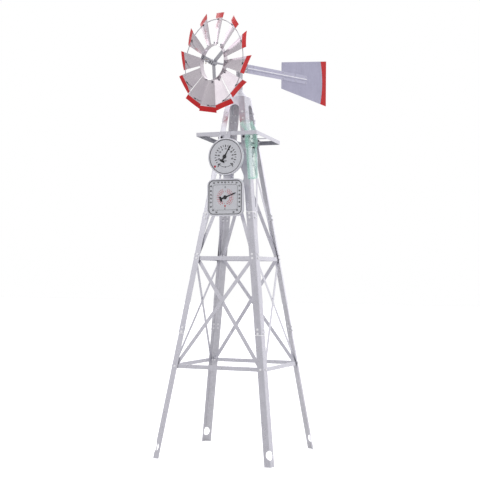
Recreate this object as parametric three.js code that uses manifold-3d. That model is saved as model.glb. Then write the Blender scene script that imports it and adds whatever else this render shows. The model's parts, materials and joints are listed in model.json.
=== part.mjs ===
// An eight foot ornamental garden windmill with a weather station, in millimetres, +Z up.
// The tower stands on four legs, its front face looks along -Y, and the origin is the middle of
// the whole model's footprint, on the ground.

import * as THREE from 'three';
import { mergeVertices } from 'three/addons/utils/BufferGeometryUtils.js';
import Module from 'manifold-3d';

const wasm = await Module();
wasm.setup();

// ---- driving dimensions ----

const GAP = 0.35; // clearance between pieces that touch

const BASE_HALF = 341.5; // tower axis to a leg ridge, at the ground
const LEAN = 0.1456; // how far each face leans in, per unit of height
const SHEET = 1.6; // thickness of the rolled leg and frame sections

const LEG_FLANGE = 36;
const LEG_SPLAY = THREE.MathUtils.degToRad(8); // each flange opens this much past a right angle
const LEG_NOSE = 7; // outer radius of the leg's rolled ridge
const LEG_SPLICES = [670, 1339]; // ends of the middle leg section
const LEG_LAP = 45; // overlap at a splice
const LEG_TOP = 1972;
const LEG_BOLT = 20; // bolt line, measured along a flange from its ridge
const ANCHOR_HEIGHT = 60;
const ANCHOR_WIDTH = 36;
const ANCHOR_TALL = 48;

const STRAP_THICK = 2;
const STRAP_END = 13; // a strap stops this far from the ridge plane of the next face
const RAIL_HEIGHT = 22;
const RAIL_LEVELS = [494, 1083];
const BRACE_WIDTH = 20;
const BRACE_TOP = 1742; // upper bolts of the top braces

const PLATFORM_HALF = 179.4;
const PLATFORM_TOP = 1776;
const PLATFORM_SIDE = 21; // height of the frame's upright flange
const PLATFORM_SHELF = 16; // width of its level flange
const PLATFORM_FALL = 0.048; // how far it falls towards the back, per unit of depth

const CROWN_BOTTOM = 1847;
const CROWN_SHOULDER = 1988;
const CROWN_NECK = 2030;
const CROWN_NECK_RADIUS = 18;
const MAST_RADIUS = 13;
const MAST_BORE = 9;
const MAST_TOP = 2100;

const HEAD_YAW = THREE.MathUtils.degToRad(-24); // where the wind has turned the head
const AXLE_HEIGHT = 2161;
const AXLE_RADIUS = 6;
const HOUSING_RADIUS = 16;
const HOUSING_FRONT = 95; // forward of the mast axis
const HOUSING_REAR = 40;
const TONGUE_END = 118;

const WHEEL_OFFSET = 196; // wheel plane, forward of the mast axis
const WHEEL_PHASE = THREE.MathUtils.degToRad(10); // first blade, clockwise from upright
const BLADE_COUNT = 12;
const BLADE_TIP = 272.5;
const BLADE_CREASE = 243.5; // the tip is bent back from here
const BLADE_TIP_LEAN = 3.7;
const BLADE_SPREAD = 0.204; // half chord per unit of radius
const BLADE_PITCH = THREE.MathUtils.degToRad(20);
const BLADE_CAMBER = 0.05; // bow of the chord line, per unit of half chord
const BLADE_THICK = 1.2;
const HOOP_RADIUS = 99;
const HOOP_WIDTH = 28;
const HOOP_THICK = 2;
const RIM_RADIUS = 236.5;
const RIM_ROD = 2.4;
const RIM_PLANE = -2; // just in front of the wheel's middle plane
const HUB_RADIUS = 17;
const HUB_LENGTH = 34;
const SPOKE_COUNT = 3;
const SPOKE_WIDTH = 24;
const SPOKE_THICK = 3;

const BOOM_START = 58;
const BOOM_END = 551;
const BOOM_HEIGHT = 51;
const BEAD_HALF = 6.5;
const BEAD_RISE = 4;
const VANE_START = 337;
const VANE_END = 724;
const VANE_FRONT_HALF = 77.5;
const VANE_REAR_HALF = 137.5;
const VANE_THICK = 1.2;

const HANGER_X = 6;
const HANGER_WIDTH = 38;
const HANGER_BOTTOM = 1330;
const DIAL_DEPTH = 22;
const DIAL_FACE = 17; // height of the printed face above the case's back edge
const DIAL_WALL = 1.5;
const ROUND_DIAL_RADIUS = 102;
const ROUND_DIAL_HEIGHT = 1636;
const THERMOMETER_PIVOT = -6; // its spindle sits this far to one side of the dial's middle
const SQUARE_DIAL_HALF = [106, 101.5];
const SQUARE_DIAL_CORNER = 36;
const SQUARE_DIAL_HEIGHT = 1413.5;
const SPINDLE_RADIUS = 1.5;
const THERMOMETER_READING = THREE.MathUtils.degToRad(29.5); // needle angles, clockwise from upright
const BAROMETER_READING = THREE.MathUtils.degToRad(69);

const GAUGE_FOOT_RADIUS = 215; // tower axis to the foot of the tube, along the front right diagonal
const GAUGE_FOOT_HEIGHT = 1518;
const GAUGE_SHIFT = 3; // the tube stands this far to the left of the diagonal
const GAUGE_LEAN = THREE.MathUtils.degToRad(7.9);
const GAUGE_LENGTH = 315;
const GAUGE_HALF_WIDTH = 22.5;
const GAUGE_HALF_DEPTH = 22;
const GAUGE_SPREAD = 0.006; // growth of the tube's half width, per unit of length
const GAUGE_TAPER = 0.016; // growth of its half depth
const GAUGE_WALL = 2;
const COLLAR_FROM = 175; // along the tube, from its foot
const COLLAR_TO = 239;

// ---- materials ----

const makeMaterial = (color, roughness, metalness) =>
  new THREE.MeshStandardMaterial({ color, roughness, metalness });

const galvanised = makeMaterial(0xbdbbc4, 0.42, 0.75);
const zinc = makeMaterial(0x8d8c92, 0.35, 0.9);
const bladeSheet = makeMaterial(0xd8d5da, 0.38, 0.7);
const vaneSheet = makeMaterial(0xadaac4, 0.45, 0.6);
const dialMetal = makeMaterial(0xb7b5bd, 0.5, 0.5);
const blackPaint = makeMaterial(0x111111, 0.5, 0.1);
const clearPlastic = makeMaterial(0xaee8d2, 0.15, 0);

// ---- geometry helpers ----

const solidOf = (geometry) => {
  const bare = geometry.clone();
  bare.deleteAttribute('normal');
  bare.deleteAttribute('uv');
  const merged = mergeVertices(bare, 1e-4);
  return new wasm.Manifold(new wasm.Mesh({
    numProp: 3,
    vertProperties: new Float32Array(merged.attributes.position.array),
    triVerts: new Uint32Array(merged.index.array),
  }));
};

const geometryOf = (solid) => {
  const { vertProperties, triVerts } = solid.getMesh();
  const geometry = new THREE.BufferGeometry();
  geometry.setAttribute('position', new THREE.BufferAttribute(vertProperties, 3));
  geometry.setIndex(new THREE.BufferAttribute(triVerts, 1));
  geometry.computeVertexNormals();
  return geometry;
};

const join = (first, ...others) =>
  geometryOf(others.reduce((sum, other) => sum.add(solidOf(other)), solidOf(first)));

const cut = (body, ...tools) =>
  geometryOf(tools.reduce((rest, tool) => rest.subtract(solidOf(tool)), solidOf(body)));

// A closed body through level outlines, given from the lowest up, all with the same number of points.
const loft = (sections) => {
  const count = sections[0].points.length;
  const turned = THREE.ShapeUtils.isClockWise(sections[0].points);
  const rows = sections.map(({ points, z }) => ({ z, points: turned ? [...points].reverse() : points }));
  const vertices = rows.flatMap(({ points, z }) => points.flatMap((p) => [p.x, p.y, z]));
  const indices = [];
  for (let row = 0; row + 1 < rows.length; row += 1) {
    for (let i = 0; i < count; i += 1) {
      const a = row * count + i;
      const b = row * count + ((i + 1) % count);
      indices.push(a, b, b + count, a, b + count, a + count);
    }
  }
  const last = (rows.length - 1) * count;
  for (const [a, b, c] of THREE.ShapeUtils.triangulateShape(rows[0].points, [])) {
    indices.push(c, b, a);
  }
  for (const [a, b, c] of THREE.ShapeUtils.triangulateShape(rows[rows.length - 1].points, [])) {
    indices.push(last + a, last + b, last + c);
  }
  const geometry = new THREE.BufferGeometry();
  geometry.setAttribute('position', new THREE.Float32BufferAttribute(vertices, 3));
  geometry.setIndex(indices);
  geometry.computeVertexNormals();
  return geometry;
};

const extrude = (shape, depth, curveSegments = 8) =>
  new THREE.ExtrudeGeometry(shape, { depth, bevelEnabled: false, curveSegments });

const outline = (pairs) => new THREE.Shape(pairs.map(([x, y]) => new THREE.Vector2(x, y)));

const box = (x0, x1, y0, y1, z0, z1) =>
  new THREE.BoxGeometry(x1 - x0, y1 - y0, z1 - z0)
    .translate((x0 + x1) / 2, (y0 + y1) / 2, (z0 + z1) / 2);

// A turned body about the Y axis, from [radius, y] pairs.
const turnAboutY = (profile, segments = 32) =>
  new THREE.LatheGeometry(profile.map(([r, y]) => new THREE.Vector2(r, y)), segments);

// The same about the Z axis, from [radius, z] pairs.
const turnAboutZ = (profile, segments = 32) => turnAboutY(profile, segments).rotateX(Math.PI / 2);

const named = (name, geometry, material) => {
  const mesh = new THREE.Mesh(geometry, material);
  mesh.name = name;
  return mesh;
};

// ---- the tower's faces and corners ----

const faceHalf = (z) => BASE_HALF - LEAN * z;

const FACES = ['front', 'right', 'back', 'left'];
const CORNERS = ['back_right', 'back_left', 'front_left', 'front_right'];
const quarterTurn = (index) => (index * Math.PI) / 2;

// A strap lying in the front face: its outline is in x and z, and inset is its outer side's
// distance behind the plane through the two ridges.
const faceLean = new THREE.Matrix4().set(1, 0, 0, 0, 0, 1, LEAN, -BASE_HALF, 0, 0, 1, 0, 0, 0, 0, 1);
const faceStrap = (pairs, inset, thickness = STRAP_THICK) =>
  extrude(outline(pairs), thickness)
    .rotateX(Math.PI / 2)
    .translate(0, inset + thickness, 0)
    .applyMatrix4(faceLean);

// The back right corner: the two flanges run from the ridge at (0, 0) along these directions.
const flangeAlong = [
  new THREE.Vector2(-Math.cos(LEG_SPLAY), Math.sin(LEG_SPLAY)),
  new THREE.Vector2(Math.sin(LEG_SPLAY), -Math.cos(LEG_SPLAY)),
];
const flangeOut = [
  new THREE.Vector2(Math.sin(LEG_SPLAY), Math.cos(LEG_SPLAY)),
  new THREE.Vector2(Math.cos(LEG_SPLAY), Math.sin(LEG_SPLAY)),
];

const onFlange = (flange, along, out) =>
  flangeAlong[flange].clone().multiplyScalar(along).addScaledVector(flangeOut[flange], out);

// The leg's outer line from one flange edge round the ridge to the other, moved out by offset.
const cornerLine = (offset, arcSteps = 4) => {
  const centre = -LEG_NOSE / (Math.sin(LEG_SPLAY) + Math.cos(LEG_SPLAY));
  const radius = LEG_NOSE + offset;
  const from = Math.PI / 2 - LEG_SPLAY;
  const to = LEG_SPLAY;
  const line = [onFlange(0, LEG_FLANGE, offset)];
  for (let step = 0; step <= arcSteps; step += 1) {
    const angle = from + ((to - from) * step) / arcSteps;
    line.push(new THREE.Vector2(
      centre + radius * Math.cos(angle),
      centre + radius * Math.sin(angle),
    ));
  }
  line.push(onFlange(1, LEG_FLANGE, offset));
  return line;
};

const atCorner = (points, z) =>
  points.map((point) => new THREE.Vector2(point.x + faceHalf(z), point.y + faceHalf(z)));

const cornerLoft = (points, heights) => loft(heights.map((z) => ({ z, points: atCorner(points, z) })));

// ---- legs ----

const lapOut = SHEET + GAP; // the middle section lies outside the other two

const legSection = (from, to, out) =>
  cornerLoft([...cornerLine(out), ...cornerLine(out - SHEET).reverse()], [from, to]);

const anchorHole = () =>
  new THREE.CylinderGeometry(ANCHOR_WIDTH / 2, ANCHOR_WIDTH / 2, 4 * LEG_FLANGE, 24)
    .scale(1, 1, ANCHOR_TALL / ANCHOR_WIDTH)
    .rotateZ(-Math.PI / 4)
    .translate(faceHalf(ANCHOR_HEIGHT), faceHalf(ANCHOR_HEIGHT), ANCHOR_HEIGHT);

const legSections = {
  lower: cut(legSection(0, LEG_SPLICES[0] + LEG_LAP, 0), anchorHole()),
  middle: legSection(LEG_SPLICES[0], LEG_SPLICES[1], lapOut),
  upper: legSection(LEG_SPLICES[1] - LEG_LAP, LEG_TOP, 0),
};

const legs = new THREE.Group();
CORNERS.forEach((corner, index) => {
  for (const [part, geometry] of Object.entries(legSections)) {
    const leg = named(`leg_${corner}_${part}`, geometry, galvanised);
    leg.rotation.z = quarterTurn(index);
    legs.add(leg);
  }
});

// ---- rails and braces ----

const railInset = [GAP, GAP - lapOut]; // the upper rail is bolted to the middle leg sections

const rail = (level, inset) => {
  const low = level - RAIL_HEIGHT / 2;
  const high = level + RAIL_HEIGHT / 2;
  return faceStrap([
    [-(faceHalf(low) - STRAP_END), low],
    [faceHalf(low) - STRAP_END, low],
    [faceHalf(high) - STRAP_END, high],
    [-(faceHalf(high) - STRAP_END), high],
  ], inset);
};

// A strap rising from the left leg to the right one, or the other way, cut off upright at its ends.
const brace = (lowBolt, highBolt, rising, inset) => {
  const low = faceHalf(lowBolt) - LEG_BOLT;
  const high = faceHalf(highBolt) - LEG_BOLT;
  const slope = (highBolt - lowBolt) / (high + low);
  const halfCut = (BRACE_WIDTH / 2) * Math.hypot(1, slope);
  const reach = LEG_BOLT - STRAP_END;
  const start = [-(low + reach), lowBolt - slope * reach];
  const end = [high + reach, highBolt + slope * reach];
  const side = rising ? 1 : -1;
  return faceStrap([
    [side * start[0], start[1] - halfCut],
    [side * end[0], end[1] - halfCut],
    [side * end[0], end[1] + halfCut],
    [side * start[0], start[1] + halfCut],
  ], inset);
};

const frontLayer = 2 * GAP + STRAP_THICK; // behind the rails
const rearLayer = frontLayer + STRAP_THICK + GAP;

const topCross = () => {
  const cross = [RAIL_LEVELS[1] + RAIL_HEIGHT, BRACE_TOP];
  const low = faceHalf(cross[0]) - LEG_BOLT;
  const high = faceHalf(cross[1]) - LEG_BOLT;
  const crossing = cross[0] + ((cross[1] - cross[0]) * low) / (low + high);
  const rivet = new THREE.CylinderGeometry(4, 4, 2 * STRAP_THICK + GAP, 12)
    .translate(0, frontLayer + STRAP_THICK + GAP / 2 - faceHalf(crossing), crossing);
  return join(
    brace(cross[0], cross[1], true, frontLayer),
    brace(cross[0], cross[1], false, rearLayer),
    rivet,
  );
};

const straps = {
  lower_rail: rail(RAIL_LEVELS[0], railInset[0]),
  upper_rail: rail(RAIL_LEVELS[1], railInset[1]),
  brace_rising_right: brace(RAIL_LEVELS[0], RAIL_LEVELS[1], true, frontLayer),
  brace_rising_left: brace(RAIL_LEVELS[0], RAIL_LEVELS[1], false, rearLayer),
  top_cross_brace: topCross(),
};

const bracing = new THREE.Group();
FACES.forEach((face, index) => {
  for (const [part, geometry] of Object.entries(straps)) {
    const strap = named(`${face}_${part}`, geometry, galvanised);
    strap.rotation.z = quarterTurn(index);
    bracing.add(strap);
  }
});

// ---- platform ----

// A square frame of angle section, with two arms at each leg, each turned down into a bolted ear.
const platformFrame = () => {
  const corner = Math.SQRT2;
  const frame = turnAboutZ([
    [corner * PLATFORM_HALF, PLATFORM_TOP - PLATFORM_SIDE],
    [corner * PLATFORM_HALF, PLATFORM_TOP],
    [corner * (PLATFORM_HALF - PLATFORM_SHELF), PLATFORM_TOP],
    [corner * (PLATFORM_HALF - PLATFORM_SHELF), PLATFORM_TOP - SHEET],
    [corner * (PLATFORM_HALF - SHEET), PLATFORM_TOP - SHEET],
    [corner * (PLATFORM_HALF - SHEET), PLATFORM_TOP - PLATFORM_SIDE],
    [corner * PLATFORM_HALF, PLATFORM_TOP - PLATFORM_SIDE],
  ], 4).rotateZ(Math.PI / 4);
  const earOut = [GAP, GAP + STRAP_THICK];
  const earAlong = [10, 30];
  const armTop = PLATFORM_TOP - SHEET + 0.2;
  const armThick = 2.6;
  const armEnd = PLATFORM_HALF - SHEET / 2;
  const corners = CORNERS.map((corner, index) => {
    const side = corner.startsWith('back') ? 1 : -1;
    const fall = PLATFORM_FALL * (PLATFORM_HALF + side * faceHalf(PLATFORM_TOP));
    const onLeg = (points, z) => ({ z, points: atCorner(points, z - fall) });
    return [0, 1].flatMap((flange) => {
      const ear = [
        onFlange(flange, earAlong[0], earOut[0]),
        onFlange(flange, earAlong[1], earOut[0]),
        onFlange(flange, earAlong[1], earOut[1]),
        onFlange(flange, earAlong[0], earOut[1]),
      ];
      const [near, far] = onLeg(earAlong.map((along) => onFlange(flange, along, 1.3)), armTop).points;
      const toFrame = (point) =>
        flange === 0 ? new THREE.Vector2(point.x, armEnd) : new THREE.Vector2(armEnd, point.y);
      return [
        loft([PLATFORM_TOP - 30, armTop].map((z) => onLeg(ear, z))),
        loft([armTop - armThick, armTop].map((z) => (
          { z, points: [near, far, toFrame(far), toFrame(near)] }
        ))),
      ];
    }).map((piece) => piece.rotateZ(quarterTurn(index)));
  });
  const tilt = new THREE.Matrix4().set(
    1, 0, 0, 0,
    0, 1, 0, 0,
    0, -PLATFORM_FALL, 1, -PLATFORM_FALL * PLATFORM_HALF,
    0, 0, 0, 1,
  );
  return join(frame, ...corners.flat()).applyMatrix4(tilt);
};

// ---- crown and mast ----

// The crown sleeves the tops of the legs, has an arch between them on each face, and carries the mast.
const crown = () => {
  const ring = (offset, z) => CORNERS.flatMap((_, index) =>
    atCorner(cornerLine(offset), z).reverse().map((point) =>
      point.rotateAround(new THREE.Vector2(), quarterTurn(index))));
  const circle = (radius, like) => like.map((point) => point.clone().setLength(radius));
  const shell = (offset, bottom, shoulder, neck, neckRadius) => {
    const top = ring(offset, shoulder);
    return loft([
      { z: bottom, points: ring(offset, bottom) },
      { z: shoulder, points: top },
      { z: neck, points: circle(neckRadius, top) },
    ]);
  };
  const outer = shell(GAP + SHEET, CROWN_BOTTOM, CROWN_SHOULDER, CROWN_NECK, CROWN_NECK_RADIUS);
  const inner = shell(GAP, CROWN_BOTTOM - 1, CROWN_SHOULDER - SHEET, CROWN_NECK + 1, CROWN_NECK_RADIUS - 4);
  const springing = 1922;
  const foot = faceHalf(CROWN_BOTTOM) - LEG_FLANGE + 1;
  const head = faceHalf(springing) - LEG_FLANGE + 1;
  const arch = new THREE.Shape();
  arch.moveTo(-foot, CROWN_BOTTOM - 5);
  arch.lineTo(foot, CROWN_BOTTOM - 5);
  arch.lineTo(head, springing);
  arch.absellipse(0, springing, head, 20, 0, Math.PI, false, 0);
  arch.closePath();
  const through = extrude(arch, 400, 10).translate(0, 0, -200).rotateX(Math.PI / 2);
  const mast = turnAboutZ([
    [MAST_BORE, CROWN_SHOULDER],
    [MAST_RADIUS, CROWN_SHOULDER],
    [MAST_RADIUS, CROWN_NECK - 2],
    [CROWN_NECK_RADIUS + 2, CROWN_NECK - 2],
    [CROWN_NECK_RADIUS + 2, CROWN_NECK + 3],
    [MAST_RADIUS, CROWN_NECK + 3],
    [MAST_RADIUS, MAST_TOP],
    [MAST_BORE, MAST_TOP],
    [MAST_BORE, CROWN_SHOULDER],
  ]);
  return join(cut(outer, inner, through, through.clone().rotateZ(Math.PI / 2)), mast);
};

// ---- head: it turns on the mast, with its own -Y towards the wheel ----

const headFrame = () => {
  const sleeveBottom = CROWN_NECK + 3 + GAP;
  const sleeve = turnAboutZ([
    [MAST_RADIUS + GAP, sleeveBottom],
    [CROWN_NECK_RADIUS + 1, sleeveBottom],
    [CROWN_NECK_RADIUS + 1, AXLE_HEIGHT - 10],
    [0, AXLE_HEIGHT - 10],
    [0, MAST_TOP + 3],
    [MAST_RADIUS + GAP, MAST_TOP + 3],
    [MAST_RADIUS + GAP, sleeveBottom],
  ]);
  const alongAxle = (radius, from, to) =>
    new THREE.CylinderGeometry(radius, radius, to - from, 28).translate(0, (from + to) / 2, AXLE_HEIGHT);
  const housing = alongAxle(HOUSING_RADIUS, -HOUSING_FRONT, HOUSING_REAR);
  const tongueHalf = BOOM_HEIGHT / 2 - 1;
  const tongue = box(-1.5, 1.5, 15, TONGUE_END, AXLE_HEIGHT - tongueHalf, AXLE_HEIGHT + tongueHalf);
  const bore = alongAxle(AXLE_RADIUS + GAP, -HOUSING_FRONT - 1, HOUSING_REAR + 1);
  const collarRoom = alongAxle(HOUSING_RADIUS - 3, HOUSING_REAR, BOOM_START);
  return cut(join(sleeve, housing, tongue), bore, collarRoom);
};

// A strip with a rolled bead along its middle. The boom and the vane lie side by side on the tongue.
const boomInner = 1.5 + GAP;
const tailBoom = () => {
  const boomOuter = boomInner + SHEET;
  const section = new THREE.Shape();
  section.moveTo(boomInner, -BOOM_HEIGHT / 2);
  section.lineTo(boomOuter, -BOOM_HEIGHT / 2);
  section.lineTo(boomOuter, -BEAD_HALF);
  section.absellipse(boomOuter, 0, BEAD_RISE, BEAD_HALF, -Math.PI / 2, Math.PI / 2, false, 0);
  section.lineTo(boomOuter, BOOM_HEIGHT / 2);
  section.lineTo(boomInner, BOOM_HEIGHT / 2);
  section.closePath();
  return extrude(section, BOOM_END - BOOM_START, 10)
    .rotateX(Math.PI / 2)
    .translate(0, BOOM_END, AXLE_HEIGHT);
};

const tailVane = () =>
  extrude(outline([
    [VANE_START, -VANE_FRONT_HALF],
    [VANE_END, -VANE_REAR_HALF],
    [VANE_END, VANE_REAR_HALF],
    [VANE_START, VANE_FRONT_HALF],
  ]), VANE_THICK)
    .rotateX(Math.PI / 2)
    .rotateZ(Math.PI / 2)
    .translate(boomInner - GAP - VANE_THICK, 0, AXLE_HEIGHT);

// ---- wheel: in its own frame the axle is the Y axis and -Y is the front ----

const axleShaft = () => {
  const behind = (y) => WHEEL_OFFSET + y; // from the mast axis to the wheel's frame
  const hubBack = HUB_LENGTH / 2 + GAP;
  const shaft = turnAboutY([
    [0, -60],
    [AXLE_RADIUS - 1, -60],
    [AXLE_RADIUS, -59],
    [AXLE_RADIUS, hubBack],
    [9, hubBack],
    [9, hubBack + 6],
    [AXLE_RADIUS, hubBack + 6],
    [AXLE_RADIUS, behind(-HOUSING_FRONT - GAP) - 9],
    [11, behind(-HOUSING_FRONT - GAP) - 9],
    [11, behind(-HOUSING_FRONT - GAP)],
    [AXLE_RADIUS, behind(-HOUSING_FRONT - GAP)],
    [AXLE_RADIUS, behind(HOUSING_REAR + GAP)],
    [11, behind(HOUSING_REAR + GAP)],
    [11, behind(HOUSING_REAR + GAP) + 9],
    [AXLE_RADIUS, behind(HOUSING_REAR + GAP) + 9],
    [AXLE_RADIUS, behind(HOUSING_REAR + GAP) + 13],
    [0, behind(HOUSING_REAR + GAP) + 13],
  ], 24);
  const nutThick = 10;
  const nut = new THREE.CylinderGeometry(11, 11, nutThick, 6)
    .translate(0, -HUB_LENGTH / 2 - GAP - nutThick / 2, 0);
  return join(shaft, nut);
};

const wheelHub = () => {
  const hubBore = AXLE_RADIUS + GAP;
  const boss = turnAboutY([
    [hubBore, -HUB_LENGTH / 2],
    [HUB_RADIUS - 3, -HUB_LENGTH / 2],
    [HUB_RADIUS, -HUB_LENGTH / 2 + 4],
    [HUB_RADIUS, HUB_LENGTH / 2 - 4],
    [HUB_RADIUS - 3, HUB_LENGTH / 2],
    [hubBore, HUB_LENGTH / 2],
    [hubBore, -HUB_LENGTH / 2],
  ], 28);
  const reach = HOOP_RADIUS - HOOP_THICK - 0.8;
  const spokes = Array.from({ length: SPOKE_COUNT }, (_, index) =>
    box(-SPOKE_WIDTH / 2, SPOKE_WIDTH / 2, -SPOKE_THICK / 2, SPOKE_THICK / 2, HUB_RADIUS - 4, reach)
      .rotateY((Math.PI / BLADE_COUNT) * 3 + (index * 2 * Math.PI) / SPOKE_COUNT));
  return join(boss, ...spokes);
};

const wheelHoop = () => turnAboutY([
  [HOOP_RADIUS - HOOP_THICK, -HOOP_WIDTH / 2],
  [HOOP_RADIUS, -HOOP_WIDTH / 2],
  [HOOP_RADIUS, HOOP_WIDTH / 2],
  [HOOP_RADIUS - HOOP_THICK, HOOP_WIDTH / 2],
  [HOOP_RADIUS - HOOP_THICK, -HOOP_WIDTH / 2],
], 48);

const wheelRim = () => {
  const sides = 6;
  const profile = Array.from({ length: sides + 1 }, (_, index) => {
    const angle = (index * 2 * Math.PI) / sides;
    return [RIM_RADIUS + RIM_ROD * Math.cos(angle), RIM_PLANE + RIM_ROD * Math.sin(angle)];
  });
  return turnAboutY(profile, 60);
};

// A pitched, slightly bowed sheet that widens with the radius, built along +Z, with the slot
// that the rim passes through.
const blade = () => {
  const steps = 5;
  const chordPoint = (radius, step, side) => {
    const along = (2 * step) / steps - 1;
    const half = BLADE_SPREAD * radius;
    const bow = -BLADE_CAMBER * half * (1 - along * along) + (side * BLADE_THICK) / 2;
    const lean = radius > BLADE_CREASE ? BLADE_TIP_LEAN : 0;
    return new THREE.Vector2(half * along, bow)
      .rotateAround(new THREE.Vector2(), -BLADE_PITCH)
      .add(new THREE.Vector2(0, lean));
  };
  const section = (radius) => {
    const front = Array.from({ length: steps + 1 }, (_, step) => chordPoint(radius, step, -1));
    const back = Array.from({ length: steps + 1 }, (_, step) => chordPoint(radius, steps - step, 1));
    return { z: radius, points: [...front, ...back] };
  };
  const slotRadius = RIM_ROD + 2 * GAP;
  const rimSlot = new THREE.CylinderGeometry(slotRadius, slotRadius, 60, 10)
    .rotateZ(Math.PI / 2)
    .translate(0, RIM_PLANE, RIM_RADIUS);
  return cut(loft([HOOP_RADIUS + GAP, BLADE_CREASE, BLADE_TIP].map(section)), rimSlot);
};

const wheel = new THREE.Group();
wheel.position.set(0, -WHEEL_OFFSET, AXLE_HEIGHT);
wheel.rotation.y = WHEEL_PHASE;
wheel.add(named('wheel_shaft', axleShaft(), zinc));
wheel.add(named('wheel_hub', wheelHub(), zinc));
wheel.add(named('wheel_hoop', wheelHoop(), galvanised));
wheel.add(named('wheel_rim', wheelRim(), galvanised));
const bladeGeometry = blade();
for (let index = 0; index < BLADE_COUNT; index += 1) {
  const fan = named(`blade_${String(index + 1).padStart(2, '0')}`, bladeGeometry, bladeSheet);
  fan.rotation.y = (index * 2 * Math.PI) / BLADE_COUNT;
  wheel.add(fan);
}

const headGroup = new THREE.Group();
headGroup.rotation.z = HEAD_YAW;
headGroup.add(named('head_frame', headFrame(), zinc));
headGroup.add(named('tail_boom', tailBoom(), galvanised));
headGroup.add(named('tail_vane', tailVane(), vaneSheet));
headGroup.add(wheel);

// ---- dials: in their own frame x is right, y is up and z comes out of the face ----

const roundedRectangle = (halfX, halfY, radius) => {
  const shape = new THREE.Shape();
  shape.moveTo(halfX - radius, -halfY);
  shape.absarc(halfX - radius, -halfY + radius, radius, -Math.PI / 2, 0);
  shape.absarc(halfX - radius, halfY - radius, radius, 0, Math.PI / 2);
  shape.absarc(-halfX + radius, halfY - radius, radius, Math.PI / 2, Math.PI);
  shape.absarc(-halfX + radius, -halfY + radius, radius, Math.PI, 1.5 * Math.PI);
  return shape;
};

const spindleHole = SPINDLE_RADIUS + GAP;
const BEZEL_WIDTH = 7;

const throughHole = (x) =>
  new THREE.CylinderGeometry(spindleHole, spindleHole, 3 * DIAL_DEPTH, 12)
    .rotateX(Math.PI / 2)
    .translate(x, 0, 0);

const roundCase = () => cut(turnAboutZ([
  [0, DIAL_FACE - DIAL_WALL],
  [ROUND_DIAL_RADIUS - DIAL_WALL, DIAL_FACE - DIAL_WALL],
  [ROUND_DIAL_RADIUS - DIAL_WALL, 0],
  [ROUND_DIAL_RADIUS, 0],
  [ROUND_DIAL_RADIUS, DIAL_DEPTH - 4],
  [ROUND_DIAL_RADIUS - 1.5, DIAL_DEPTH - 1],
  [ROUND_DIAL_RADIUS - 4, DIAL_DEPTH],
  [ROUND_DIAL_RADIUS - BEZEL_WIDTH + 1, DIAL_DEPTH - 1],
  [ROUND_DIAL_RADIUS - BEZEL_WIDTH, DIAL_FACE],
  [0, DIAL_FACE],
], 44), throughHole(THERMOMETER_PIVOT));

const squareCase = () => {
  const [halfX, halfY] = SQUARE_DIAL_HALF;
  const inset = (by) => roundedRectangle(halfX - by, halfY - by, SQUARE_DIAL_CORNER - by);
  const edge = 2;
  const body = new THREE.ExtrudeGeometry(inset(edge), {
    depth: DIAL_DEPTH - edge,
    bevelThickness: edge,
    bevelSize: edge,
    bevelSegments: 2,
    curveSegments: 7,
  });
  const squareBack = box(-halfX, halfX, -halfY, halfY, -2 * edge, 0);
  const well = extrude(inset(BEZEL_WIDTH), DIAL_DEPTH, 7).translate(0, 0, DIAL_FACE);
  const hollow = extrude(inset(DIAL_WALL), DIAL_DEPTH, 7).translate(0, 0, DIAL_FACE - DIAL_WALL - DIAL_DEPTH);
  return cut(body, squareBack, well, hollow, throughHole(0));
};

// A pointer with a crescent counterweight, a boss and the spindle that it turns on.
const needle = (length) => {
  const pointer = extrude(outline([
    [-2.6, 6],
    [-4.2, -14],
    [-3, -24],
    [-13, -26],
    [-17, -34],
    [-8, -31],
    [0, -33],
    [8, -31],
    [17, -34],
    [13, -26],
    [3, -24],
    [4.2, -14],
    [2.6, 6],
    [0.6, length],
    [-0.6, length],
  ]), 1).translate(0, 0, DIAL_FACE + GAP);
  const hub = turnAboutZ([
    [0, DIAL_FACE - 6],
    [SPINDLE_RADIUS, DIAL_FACE - 6],
    [SPINDLE_RADIUS, DIAL_FACE + GAP],
    [9, DIAL_FACE + GAP],
    [8, DIAL_FACE + 2.4],
    [0, DIAL_FACE + 2.8],
  ], 20);
  return join(pointer, hub);
};

const hangerBack = PLATFORM_HALF + GAP;
const hanger = () => box(
  HANGER_X - HANGER_WIDTH / 2,
  HANGER_X + HANGER_WIDTH / 2,
  -hangerBack - STRAP_THICK,
  -hangerBack,
  HANGER_BOTTOM,
  PLATFORM_TOP,
);

const dial = (name, height, caseGeometry, pivot, pointerLength, reading) => {
  const group = new THREE.Group();
  group.position.set(HANGER_X, -hangerBack - STRAP_THICK - GAP, height);
  group.rotation.x = Math.PI / 2;
  group.add(named(`${name}_case`, caseGeometry, dialMetal));
  const pointer = named(`${name}_needle`, needle(pointerLength), blackPaint);
  pointer.position.x = pivot;
  pointer.rotation.z = -reading;
  group.add(pointer);
  return group;
};

// ---- rain gauge: in its own frame z runs up the tube and -y faces out of the corner ----

const gaugeRoom = 0.6;
const gaugeHalf = (z) => [
  GAUGE_HALF_WIDTH + z * GAUGE_SPREAD,
  GAUGE_HALF_DEPTH + z * GAUGE_TAPER,
];

// The tube's outline at a height; flare widens its left side, and tuck draws its right side in.
const gaugeOutline = (z, out, flare = 0, tuck = 0) => {
  const [halfX, halfY] = gaugeHalf(z).map((half) => half + out);
  const chamfer = 5;
  const left = -halfX - flare;
  const right = halfX - tuck;
  return [
    [left, -halfY + chamfer],
    [left + chamfer, -halfY],
    [right - chamfer, -halfY],
    [right, -halfY + chamfer],
    [right, halfY - chamfer],
    [right - chamfer, halfY],
    [left + chamfer, halfY],
    [left, halfY - chamfer],
  ].map(([x, y]) => new THREE.Vector2(x, y));
};

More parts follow.
